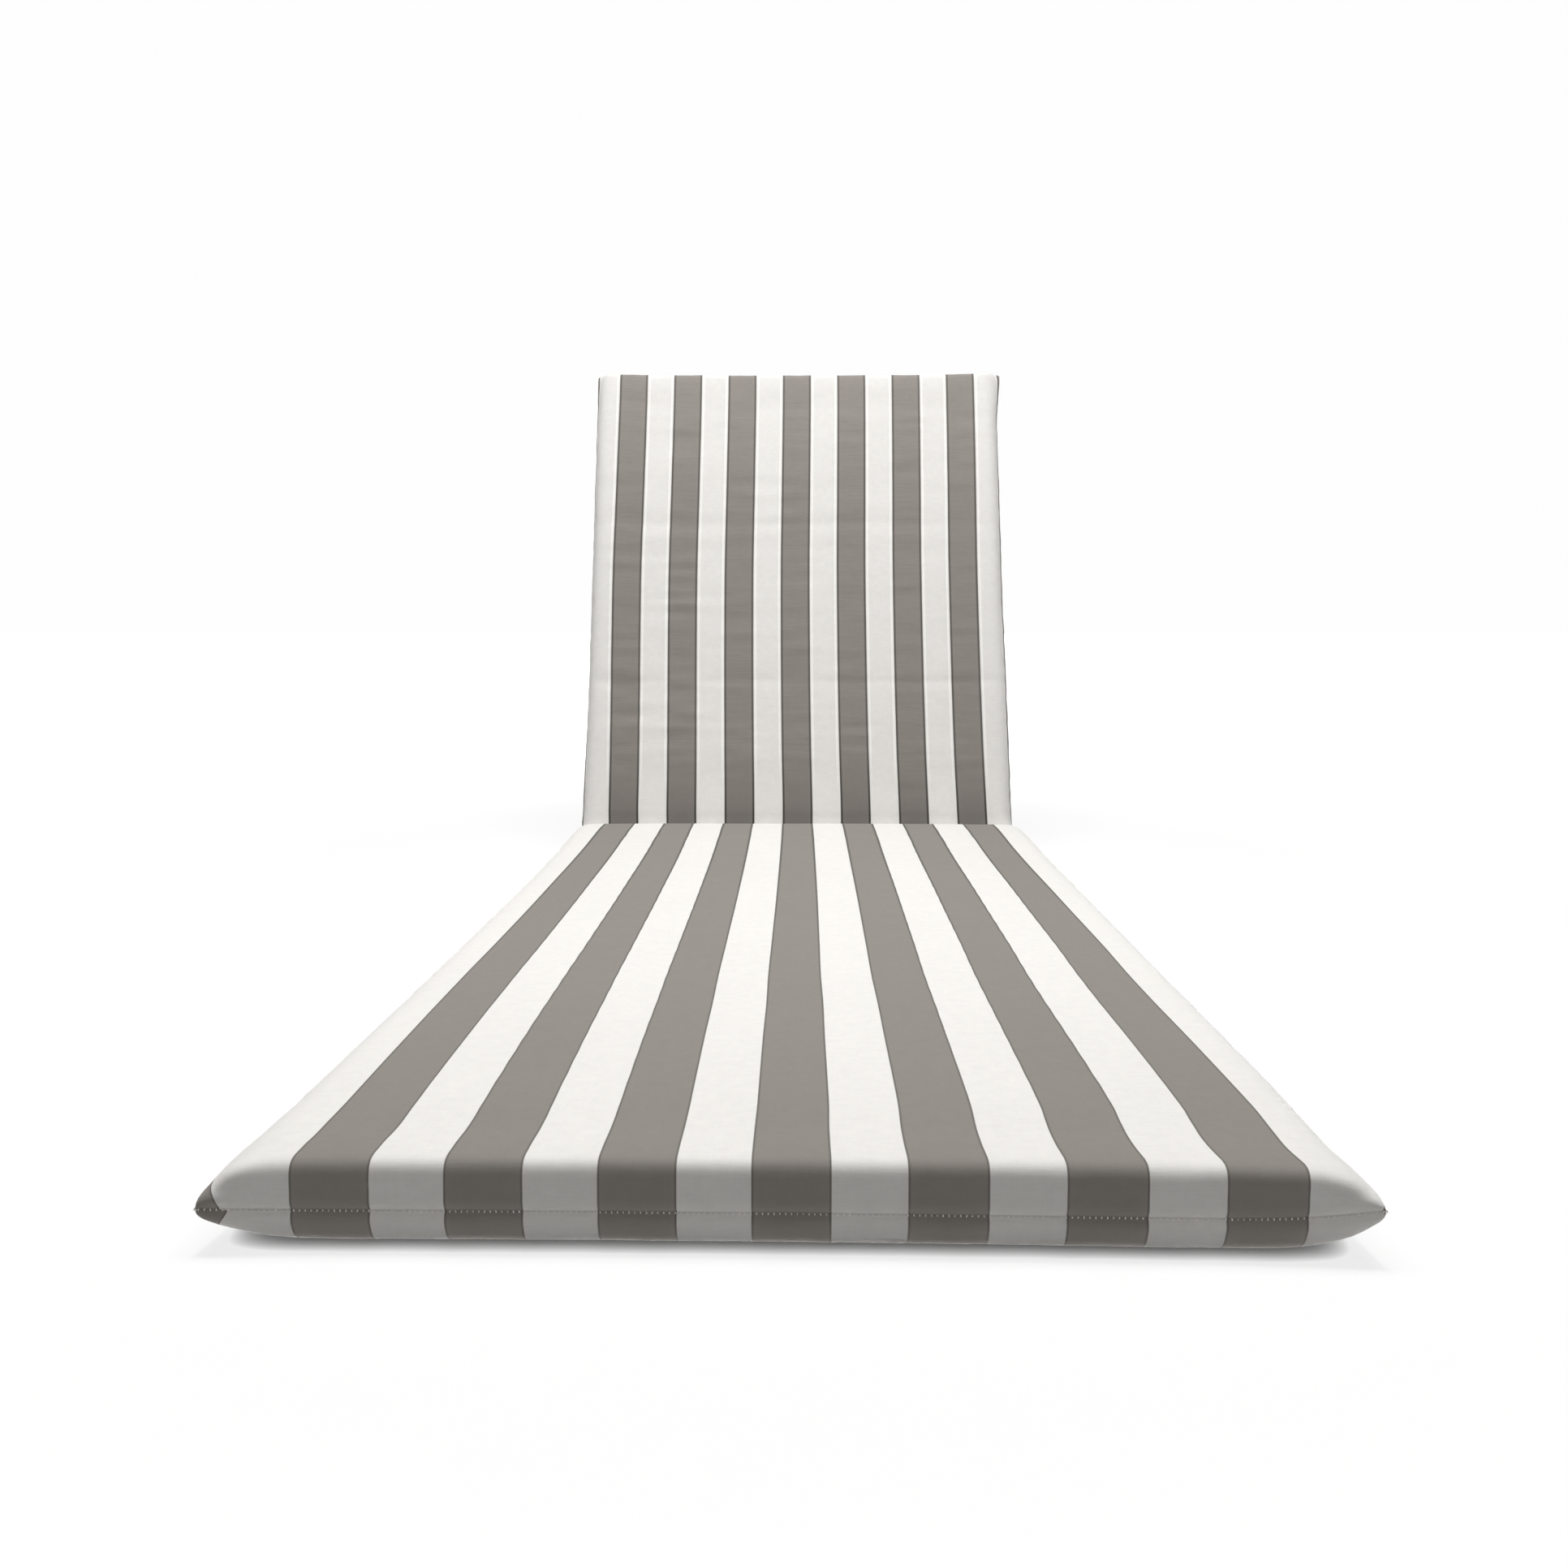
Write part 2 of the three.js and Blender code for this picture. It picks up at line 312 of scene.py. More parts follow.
class StripedCanvasLook(bpy.types.PropertyGroup):
    light_colour: colour_setting("Light Stripe", "Colour of the light stripes", (0.83, 0.815, 0.785))
    dark_colour: colour_setting("Dark Stripe", "Colour of the dark stripes", (0.264, 0.243, 0.221))
    thread_colour: colour_setting("Thread", "Colour of the sewing thread", (0.80, 0.78, 0.74))
    stripe_period: length_setting("Stripe Repeat", "From one dark stripe to the next", STRIPE_REPEAT)
    dark_width: length_setting("Dark Stripe Width", "Width of a dark stripe", 41.2 * MM)
    yarn_pitch: length_setting("Yarn Pitch", "From one yarn to the next", 0.9 * MM)


class StudioLook(bpy.types.PropertyGroup):
    floor_colour: colour_setting("Floor", "Colour of the floor", (0.22, 0.22, 0.22))
    floor_glow: strength_setting("Floor Glow", "How much of the floor's brightness takes no shadow", 0.78)
    contact_reach: length_setting(
        "Contact Shadow", "How far the soft shadow beside the cushion reaches", 8.5 * MM
    )
    floor_bounce: strength_setting(
        "Floor Bounce", "How much light the floor throws back on the cushion", 0.36
    )
    floor_shine: strength_setting("Floor Shine", "How bright the floor is as the cushion mirrors it", 8.5)
    sky_strength: strength_setting("Fill", "Strength of the light from all round", 0.26)
    sun_strength: strength_setting("Overhead Light", "Strength of the even light from above", 1.03)
    panel_power: bpy.props.FloatProperty(
        name="Panel Light",
        description="Power of the soft panel over the seat",
        default=20.5,
        min=0.0,
        unit="POWER",
    )
    lens: bpy.props.FloatProperty(name="Lens", description="Focal length in millimetres", default=31.304)
    camera_place: bpy.props.FloatVectorProperty(
        name="Camera", description="Where the camera stands", subtype="XYZ", default=(0.00475, -1.3865, 0.326)
    )
    camera_pitch: angle_setting("Pitch", "How far the camera looks down", math.radians(6.9))
    camera_yaw: angle_setting("Yaw", "How far the camera looks left", math.radians(0.61))


# The shape of the slab


def smooth_column(table, number, distance):
    """A table's column at each distance, by a smooth curve through its rows that never swings past them."""
    at = table[:, 0]
    values = table[:, number]
    rate = np.diff(values) / np.diff(at)
    same_way = rate[:-1] * rate[1:] > 0
    total = np.where(same_way, rate[:-1] + rate[1:], 1.0)
    slope = np.zeros(len(at))
    slope[1:-1] = np.where(same_way, 2 * rate[:-1] * rate[1:] / total, 0.0)
    here = np.clip(distance, at[0], at[-1])
    before = np.clip(np.searchsorted(at, here) - 1, 0, len(at) - 2)
    span = at[before + 1] - at[before]
    t = (here - at[before]) / span
    blend = t * t * (3 - 2 * t)
    leaving = t * (1 - t) ** 2 * span * slope[before]
    arriving = t * t * (1 - t) * span * slope[before + 1]
    return values[before] * (1 - blend) + values[before + 1] * blend + leaving - arriving


def section_at(distance, column):
    return smooth_column(SECTIONS, SECTION_COLUMNS.index(column), distance)


def wander_at(across, distance):
    """How far the stripes have wandered to the right at each place on the cushion."""
    left, middle, right = (
        smooth_column(WANDER, WANDER_COLUMNS.index(side), distance) for side in ("left", "middle", "right")
    )
    share = np.clip(np.abs(across) / WANDER_SPAN, 0, 1)
    return middle * (1 - share) + np.where(across < 0, left, right) * share


def by_side(on_right, pair):
    """The left or the right one of a pair, by the side that each place is on."""
    return np.where(on_right, pair[1], pair[0])


def dips_at(distance, table):
    """How deep the dips of a table (place, depth, half width) are at each distance."""
    return sum(depth * np.exp(-(((distance - at) / half) ** 2)) for at, depth, half in table)


def middle_at(distance):
    """The middle surface seen from the side, and how far it has turned up."""
    turned = np.clip((distance - BEND_START) / BEND_RADIUS, 0, BEND_ANGLE)
    before = np.minimum(distance, BEND_START)
    after = np.maximum(distance - BEND_END, 0)
    y = before + BEND_RADIUS * np.sin(turned) + after * math.cos(BEND_ANGLE)
    z = SEAM_HEIGHT + BEND_RADIUS * (1 - np.cos(turned)) + after * math.sin(BEND_ANGLE)
    return y, z, turned


def edge_inset(angle, power=EDGE_POWER):
    return 1 - np.maximum(np.cos(angle), 0) ** (2 / power)


def edge_rise(angle, power=EDGE_POWER):
    return np.sin(angle) ** (2 / power)


def near_ear(distance):
    return np.exp(-((np.maximum(distance, 0) / EAR_LENGTH) ** EAR_POWER))


def reach_at(edge_reach, distance):
    return edge_reach + (CORNER_REACH - edge_reach) * np.exp(-((distance / CORNER_LENGTH) ** 2))


def make_lines(steps):
    """The rows from foot to head and the columns from left to right, each coarse interval cut into steps.

    A row has its edge angle, the same for the squarer edge of an end, its distance from the foot end and how
    far it has settled into a plain row. A column has its edge angle and its share of the way across the flat.
    """
    edge = (math.pi / 2) * (np.arange(EDGE_ROWS + 1) / EDGE_ROWS) ** EDGE_CROWDING
    square_edge = (math.pi / 2) * (np.arange(EDGE_ROWS + 1) / EDGE_ROWS) ** END_CROWDING
    stretches = []
    for start, end, pitch in ROW_STRETCHES:
        count = round((end - start) / pitch)
        stretches.append(start + (end - start) * np.arange(1, count + 1) / count)
    plain = np.concatenate(stretches)
    full = np.full(len(plain) - 1, math.pi / 2)
    angle = np.concatenate((edge, full, edge[::-1]))
    square_angle = np.concatenate((square_edge, full, square_edge[::-1]))
    nothing = np.zeros(EDGE_ROWS)
    distance = np.concatenate((nothing, (UPPER_REACH,), plain, nothing))
    index = np.arange(len(angle))
    fine = np.linspace(0, len(angle) - 1, steps * (len(angle) - 1) + 1)
    row_angle = np.interp(fine, index, angle)
    row_distance = np.interp(fine, index, distance)
    on_foot = fine < EDGE_ROWS
    on_head = fine > len(angle) - 1 - EDGE_ROWS
    row_distance[on_foot] = UPPER_REACH * edge_inset(row_angle[on_foot])
    row_distance[on_head] = TOTAL_LENGTH - UPPER_REACH * edge_inset(row_angle[on_head])
    from_end = np.minimum(row_distance, TOTAL_LENGTH - row_distance)
    settled = np.clip((from_end - UPPER_REACH) / (FIRST_PLAIN_ROW - UPPER_REACH), 0, 1)
    row_square = np.interp(fine, index, square_angle)
    rows = {"angle": row_angle, "square_angle": row_square, "distance": row_distance, "settled": settled}

    flat = COLUMNS_BETWEEN_EDGES - 1
    angle = np.concatenate((edge, np.full(flat, math.pi / 2), edge[::-1]))
    share = np.concatenate((nothing, np.linspace(0, 1, flat + 2), nothing + 1))
    index = np.arange(len(angle))
    fine = np.linspace(0, len(angle) - 1, steps * (len(angle) - 1) + 1)
    columns = {"angle": np.interp(fine, index, angle), "share": np.interp(fine, index, share)}
    return rows, columns


def panel_points(rows, columns, upper):
    """Where the rows and columns of one panel cross, in the row frame, and each crossing's distance."""
    edge_reach = UPPER_REACH if upper else LOWER_REACH
    distance = rows["distance"][:, None]
    from_head = TOTAL_LENGTH - distance
    half_width = [
        section_at(distance, side)
        + FOOT_EARS["aside"][i] * near_ear(distance)
        + HEAD_EARS["aside"][i] * near_ear(from_head)
        for i, side in enumerate(("left", "right"))
    ]
    reach = reach_at(edge_reach, np.minimum(distance, from_head))
    left = reach * edge_inset(columns["angle"]) - half_width[0]
    right = half_width[1] - reach * edge_inset(columns["angle"])
    share = columns["share"]
    x = left * (1 - share) + right * share
    on_right = x >= 0
    half = by_side(on_right, half_width)
    across = x / half
    from_side = half - np.abs(x)

    at_foot = distance < TOTAL_LENGTH / 2
    beyond = np.where(at_foot, by_side(on_right, FOOT_EARS["beyond"]), by_side(on_right, HEAD_EARS["beyond"]))
    skewed = np.where(at_foot, FOOT_SKEW * across, 0.0)
    drawn_in = END_DRAWN_IN * (1 - across**2) - beyond * near_ear(from_side) - skewed
    inset = edge_inset(rows["angle"])[:, None] * reach_at(edge_reach, from_side)
    rise = edge_rise(rows["angle"])[:, None]
    if upper:
        at_corner = np.exp(-((from_side / SQUARE_FROM) ** 2))
        square = rows["square_angle"][:, None]
        inset = edge_inset(square, END_POWER) * UPPER_REACH * (1 - at_corner) + inset * at_corner
        rise = edge_rise(square, END_POWER) * (1 - at_corner) + rise * at_corner
    from_end = drawn_in + inset
    on_end = np.where(at_foot, from_end, TOTAL_LENGTH - from_end)
    settled = rows["settled"][:, None]
    plain = np.clip(distance, FIRST_PLAIN_ROW, TOTAL_LENGTH - FIRST_PLAIN_ROW)
    placed = on_end * (1 - settled) + plain * settled

    above = section_at(placed, "above") - CROWN * across**2 - dips_at(placed, CREASES)
    height = above if upper else -section_at(placed, "below")
    lower = by_side(on_right, FOOT_EARS["lower"])
    drop = FOOT_SEAM_LOWER + (lower - FOOT_SEAM_LOWER) * near_ear(from_side)
    drop = drop * np.exp(-((distance / CORNER_LENGTH) ** 2))
    risen = rise * edge_rise(columns["angle"])
    away = height * risen - drop * (1 - risen)
    y, z, turned = middle_at(placed)
    points = np.stack((x, y - away * np.sin(turned), z + away * np.cos(turned)), axis=-1)
    return points, placed


def both_panels(steps):
    """The two panels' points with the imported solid's place, and their distances."""
    rows, columns = make_lines(steps)
    upper, distance = panel_points(rows, columns, True)
    lower, _ = panel_points(rows, columns, False)
    points = np.stack((upper, lower))
    flat = points.reshape(-1, 3)
    shift = (np.array(CAD_LOW) + np.array(CAD_HIGH) - flat.min(axis=0) - flat.max(axis=0)) / 2
    shift[2] = CAD_LOW[2] - flat[:, 2].min()
    return points + shift, distance


def panel_numbers(shape):
    """The vertex number at each crossing of both panels: the seam's vertices belong to both."""
    count = shape[0] * shape[1]
    upper = np.arange(count).reshape(shape)
    lower = upper.copy()
    inner = (shape[0] - 2) * (shape[1] - 2)
    lower[1:-1, 1:-1] = count + np.arange(inner).reshape(shape[0] - 2, shape[1] - 2)
    return np.stack((upper, lower))


def to_vertices(values, numbers):
    """Values at the crossings of both panels as one value for each vertex; the upper panel has the seam's."""
    out = np.zeros((numbers.max() + 1,) + values.shape[3:])
    out[numbers[1]] = values[1]
    out[numbers[0]] = values[0]
    return out


def panel_mesh(name, points, numbers):
    """A closed mesh of both panels, its faces pointing out."""
    faces = []
    for grid, flip in zip(numbers, (False, True)):
        corners = [grid[:-1, :-1], grid[:-1, 1:], grid[1:, 1:], grid[1:, :-1]]
        if flip:
            corners.reverse()
        faces.append(np.stack(corners, axis=-1).reshape(-1, 4))
    faces = np.concatenate(faces)
    mesh = bpy.data.meshes.new(name)
    mesh.from_pydata(to_vertices(points, numbers), [], faces)
    mesh.validate()
    mesh.polygons.foreach_set("use_smooth", np.ones(len(mesh.polygons), dtype=bool))
    return mesh


def lengths_along(points, axis, start):
    """How far each crossing is from the line numbered start, along the panel in that axis."""
    gaps = np.linalg.norm(np.diff(points, axis=axis), axis=-1)
    shape = list(gaps.shape)
    shape[axis] = 1
    run = np.concatenate((np.zeros(shape), np.cumsum(gaps, axis=axis)), axis=axis)
    return run - np.take(run, [start], axis=axis)


def spline_weights(f):
    """How much each of four points in a row counts, a share f of the way from the second to the third."""
    second = (3 * f**3 - 6 * f**2 + 4) / 6
    third = (-3 * f**3 + 3 * f**2 + 3 * f + 1) / 6
    return (1 - f) ** 3 / 6, second, third, f**3 / 6


def soft_noise(across, along, across_pitch, along_pitch, seed):
    """Smooth noise of about -1 to 1, with its own pitch each way."""
    lattice = np.random.default_rng(seed).uniform(-1, 1, (NOISE_CELLS, NOISE_CELLS))
    total = np.zeros(np.broadcast(across, along).shape)
    u = across / across_pitch + NOISE_CELLS / 2
    v = along / along_pitch + NOISE_CELLS / 2
    iu, iv = np.floor(u).astype(int), np.floor(v).astype(int)
    fu, fv = u - iu, v - iv

    for i, wu in enumerate(spline_weights(fu)):
        for j, wv in enumerate(spline_weights(fv)):
            total = total + wu * wv * lattice[(iu + i) % NOISE_CELLS, (iv + j) % NOISE_CELLS]
    return NOISE_GAIN * total


def smooth_step(value, low, high):
    t = np.clip((value - low) / (high - low), 0, 1)
    return t * t * (3 - 2 * t)


# The cushion


def link_object(name, mesh):
    piece = bpy.data.objects.new(name, mesh)
    bpy.context.scene.collection.objects.link(piece)
    return piece


def vertex_normals(mesh):
    normals = np.empty(len(mesh.vertices) * 3)
    mesh.vertex_normals.foreach_get("vector", normals)
    return normals.reshape(-1, 3)


def vertex_places(mesh):
    places = np.empty(len(mesh.vertices) * 3)
    mesh.vertices.foreach_get("co", places)
    return places.reshape(-1, 3)


def from_seam(points):
    """How far each crossing of a panel is from the nearest seam, along the panel."""
    last_row, last_column = points.shape[0] - 1, points.shape[1] - 1
    ways = (
        lengths_along(points, 0, 0),
        -lengths_along(points, 0, last_row),
        lengths_along(points, 1, 0),
        -lengths_along(points, 1, last_column),
    )
    return np.minimum.reduce(ways)


def fill_canvas(sizes):
    """How far each crossing moves when a cloth simulation presses the canvas out over its filling.

    The seam, the rounded edges, the fold and the floor patch are held. Elsewhere the canvas starts a little
    drawn in, and the filling behind holds it softly.
    """
    points, distance = both_panels(1)
    numbers = panel_numbers(distance.shape)
    mesh = panel_mesh("filling_trial", points, numbers)
    trial = link_object("filling_trial", mesh)
    full = vertex_places(mesh)
    clear = np.stack([from_seam(panel) for panel in points])
    free = smooth_step(clear, FREE_FROM, FREE_BEYOND)
    free[1] *= smooth_step(points[1, :, :, 2], *FLOOR_FILLING)
    free *= smooth_step(np.abs(distance - FOLD_AT), FOLD_HELD, FOLD_FREE)
    free = to_vertices(free, numbers)
    start = full - vertex_normals(mesh) * (sizes.drawn_in * free)[:, None]
    mesh.vertices.foreach_set("co", start.ravel())
    held = trial.vertex_groups.new(name="held")
    for number, hold in enumerate(1 - (1 - FILLING_HOLD) * free):
        held.add([number], float(hold), "REPLACE")

    modifier = trial.modifiers.new("filling", "CLOTH")
    cloth = modifier.settings
    for key, value in CLOTH.items():
        setattr(cloth, key, value)
    cloth.uniform_pressure_force = sizes.filling_pressure
    cloth.effector_weights.gravity = 0
    cloth.vertex_group_mass = "held"
    modifier.point_cache.frame_end = SIM_FRAMES
    for number in range(1, SIM_FRAMES + 1):
        bpy.context.scene.frame_set(number)
    evaluated = trial.evaluated_get(bpy.context.evaluated_depsgraph_get())
    filled = vertex_places(evaluated.data)
    bpy.context.scene.frame_set(1)
    bpy.data.objects.remove(trial)
    bpy.data.meshes.remove(mesh)

    moved = filled - full
    length = np.linalg.norm(moved, axis=1)
    moved *= np.minimum(1, MOST_MOVED / np.maximum(length, 0.01 * MM))[:, None]
    return moved[numbers]


def finer(moves):
    """Moves at the coarse crossings, carried smoothly to the fine ones."""
    for axis in (1, 2):
        moves = np.moveaxis(moves, axis, 0)
        count = len(moves)
        fine = np.linspace(0, count - 1, FINE_STEPS * (count - 1) + 1)
        at = np.minimum(fine.astype(int), count - 2)
        t = (fine - at).reshape(-1, *([1] * (moves.ndim - 1)))
        p0, p1 = moves[np.maximum(at - 1, 0)], moves[at]
        p2, p3 = moves[at + 1], moves[np.minimum(at + 2, count - 1)]
        bend = 2 * p0 - 5 * p1 + 4 * p2 - p3
        twist = 3 * p1 - p0 - 3 * p2 + p3
        moves = p1 + 0.5 * t * (p2 - p0 + t * (bend + t * twist))
        moves = np.moveaxis(moves, 0, axis)
    return moves


def surface_detail(sizes, across, along, clear, distance):
    """How far each crossing stands out: the dip along the seam, gathers beside it, ripples and fold lines."""
    dip = -sizes.groove_depth * np.exp(-((clear / sizes.groove_width) ** 2))
    roll = ROLL_SHARE * sizes.groove_depth * np.exp(-(((clear - ROLL_AT) / ROLL_WIDTH) ** 2))
    noise = {
        name: strength * soft_noise(across, along, across_pitch, along_pitch, seed)
        for name, (across_pitch, along_pitch, strength, seed) in UNEVENNESS.items()
    }
    beside = smooth_step(clear, *GATHERS_START) * (1 - smooth_step(clear, *GATHERS_END))
    on_back = smooth_step(distance, BEND_END, BEND_END + 60 * MM)
    from_stripe = np.abs((across / STRIPE_REPEAT + 0.5) % 1 - 0.5) * STRIPE_REPEAT
    in_dark = RIPPLES_ELSEWHERE + (1 - RIPPLES_ELSEWHERE) * smooth_step(from_stripe, *RIPPLES_FADE)
    inside = smooth_step(clear, *RIPPLES_START)
    out = dip + roll + sizes.pucker_height * noise["gathers"] * beside
    rippled = on_back * in_dark * (noise["ripples"] * (0.5 + noise["patches"]) + noise["fine_ripples"])
    out += inside * sizes.ripple_height * (rippled + noise["swell"])
    out[0] -= inside[0] * dips_at(distance, FOLD_LINES)
    return out


def cloth_across(points, distance):
    """Where each crossing of a panel is across its cloth, from the middle of the middle stripe.

    The ears have no more cloth than the rows beside them, so the cloth of their rows is no wider.
    """
    middle = points.shape[1] // 2
    across = lengths_along(points, 1, middle) + points[:, middle : middle + 1, 0]
    in_middle = distance[:, middle]
    by_foot = in_middle < FIRST_PLAIN_ROW
    by_head = in_middle > TOTAL_LENGTH - FIRST_PLAIN_ROW
    plain = np.flatnonzero(~by_foot & ~by_head)
    for side, sign in ((0, -1), (-1, 1)):
        spare = np.zeros(len(across))
        spare[by_foot] = across[by_foot, side] - across[plain[0], side]
        spare[by_head] = across[by_head, side] - across[plain[-1], side]
        across = across - spare[:, None] * smooth_step(sign * across, TUCK_FROM, across[plain[0], -1])
    return across - STRIPE_MIDDLE


def make_cushion(sizes):
    """The padded cushion as one closed mesh, with where each point is on the canvas."""
    points, distance = both_panels(FINE_STEPS)
    numbers = panel_numbers(distance.shape)
    middle = points.shape[2] // 2
    clear = np.stack([from_seam(panel) for panel in points])
    across = np.stack([cloth_across(panel, distance) for panel in points])
    across = across - wander_at(across, distance)
    at_foot = distance < TOTAL_LENGTH / 2
    for side, sign in ((0, -1), (1, 1)):
        tucked = at_foot * smooth_step(sign * across, TUCK_FROM, TUCK_FULL)
        beside = np.exp(-((clear / TUCKS["width"][side]) ** 2))
        over = np.reshape((TUCKS["upper"][side], TUCKS["lower"][side]), (2, 1, 1))
        across -= over * tucked * beside
    along = np.stack([lengths_along(panel, 0, points.shape[1] // 2) for panel in points])
    along = np.broadcast_to(along[:, :, middle : middle + 1], across.shape)
    points = points + finer(fill_canvas(sizes))

    mesh = panel_mesh("padded_cushion", points, numbers)
    detail = surface_detail(sizes, across, along, clear, distance)
    detail[1] *= smooth_step(points[1, :, :, 2], *FLOOR_DETAIL)
    places = vertex_places(mesh) + vertex_normals(mesh) * to_vertices(detail, numbers)[:, None]
    places[:, 2] = np.maximum(places[:, 2], CAD_LOW[2])
    mesh.vertices.foreach_set("co", places.ravel())
    mesh.update()
    from_foot = along + distance[points.shape[1] // 2, middle]
    for name, values in (("across", across), ("along", from_foot), ("from_seam", clear)):
        attribute = mesh.attributes.new(name, "FLOAT", "POINT")
        attribute.data.foreach_set("value", to_vertices(values, numbers).astype(np.float32))
    return mesh


def seam_loop():
    """The seam's vertex numbers, once round."""
    rows, columns = make_lines(FINE_STEPS)
    grid = panel_numbers((len(rows["angle"]), len(columns["angle"])))[0]
    return np.concatenate((grid[0, :-1], grid[:-1, -1], grid[-1, :0:-1], grid[:0:-1, 0]))


# Materials


def add_socket(tree, name, kind, in_out):
    tree.interface.new_socket(name=name, in_out=in_out, socket_type=kind)


def add_math(tree, operation, *inputs):
    """A Math node: each input is a number or a socket."""
    node = tree.nodes.new("ShaderNodeMath")
    node.operation = operation
    for slot, value in zip(node.inputs, inputs):
        if isinstance(value, bpy.types.NodeSocket):
            tree.links.new(value, slot)
        else:
            slot.default_value = value
    return node.outputs[0]


def add_ramp(tree, value, low, high):
    """0 at low, 1 at high and smooth between."""
    node = tree.nodes.new("ShaderNodeMapRange")
    node.interpolation_type = "SMOOTHSTEP"
    tree.links.new(value, node.inputs["Value"])
    node.inputs["From Min"].default_value = low
    node.inputs["From Max"].default_value = high
    return node.outputs["Result"]


def add_line(tree, value, middle):
    """1 in a narrow line where the value is at its middle, and 0 beside it."""
    apart = add_math(tree, "ABSOLUTE", add_math(tree, "SUBTRACT", value, middle))
    return add_ramp(tree, apart, *LINE_EDGES)


def add_noise(tree, vector, scale, detail=2.0, roughness=0.5):
    node = tree.nodes.new("ShaderNodeTexNoise")
    node.inputs["Scale"].default_value = scale
    node.inputs["Detail"].default_value = detail
    node.inputs["Roughness"].default_value = roughness
    tree.links.new(vector, node.inputs["Vector"])
    return node.outputs["Fac"]


def add_scaled(tree, colour, factor):
    """A colour times a number."""
    node = tree.nodes.new("ShaderNodeVectorMath")
    node.operation = "SCALE"
    tree.links.new(colour, node.inputs[0])
    tree.links.new(factor, node.inputs["Scale"])
    return node.outputs[0]


def slub_group():
    """Uneven yarn: long thin streaks where a yarn is thicker, from a place on the cloth."""
    name = "Uneven Yarn"
    if name in bpy.data.node_groups:
        return bpy.data.node_groups[name]
    tree = bpy.data.node_groups.new(name, "ShaderNodeTree")
    for label in ("Across", "Along", "Streak Length", "Streak Width"):
        add_socket(tree, label, "NodeSocketFloat", "INPUT")
    add_socket(tree, "Streaks", "NodeSocketFloat", "OUTPUT")
    inside = tree.nodes.new("NodeGroupInput")
    result = tree.nodes.new("NodeGroupOutput")
    place = tree.nodes.new("ShaderNodeCombineXYZ")
    for slot, (way, size) in zip(place.inputs, (("Across", "Streak Length"), ("Along", "Streak Width"))):
        tree.links.new(add_math(tree, "DIVIDE", inside.outputs[way], inside.outputs[size]), slot)
    streaks = add_noise(tree, place.outputs[0], scale=1.0, roughness=0.6)
    tree.links.new(streaks, result.inputs["Streaks"])
    return tree


def read_attribute(tree, name):
    node = tree.nodes.new("ShaderNodeAttribute")
    node.attribute_name = name
    return node.outputs["Fac"]


def add_slub(tree, across, along, length, width):
    node = tree.nodes.new("ShaderNodeGroup")
    node.node_tree = slub_group()
    tree.links.new(across, node.inputs["Across"])
    tree.links.new(along, node.inputs["Along"])
    node.inputs["Streak Length"].default_value = length
    node.inputs["Streak Width"].default_value = width
    return node.outputs["Streaks"]


def new_material(name):
    material = bpy.data.materials.new(name)
    material.use_nodes = True
    tree = material.node_tree
    return material, tree, tree.nodes["Principled BSDF"]


def add_colour_mix(tree, factor, first, second):
    node = tree.nodes.new("ShaderNodeMix")
    node.data_type = "RGBA"
    tree.links.new(factor, node.inputs["Factor"])
    node.inputs["A"].default_value = (*first, 1.0)
    node.inputs["B"].default_value = (*second, 1.0)
    return node.outputs["Result"]


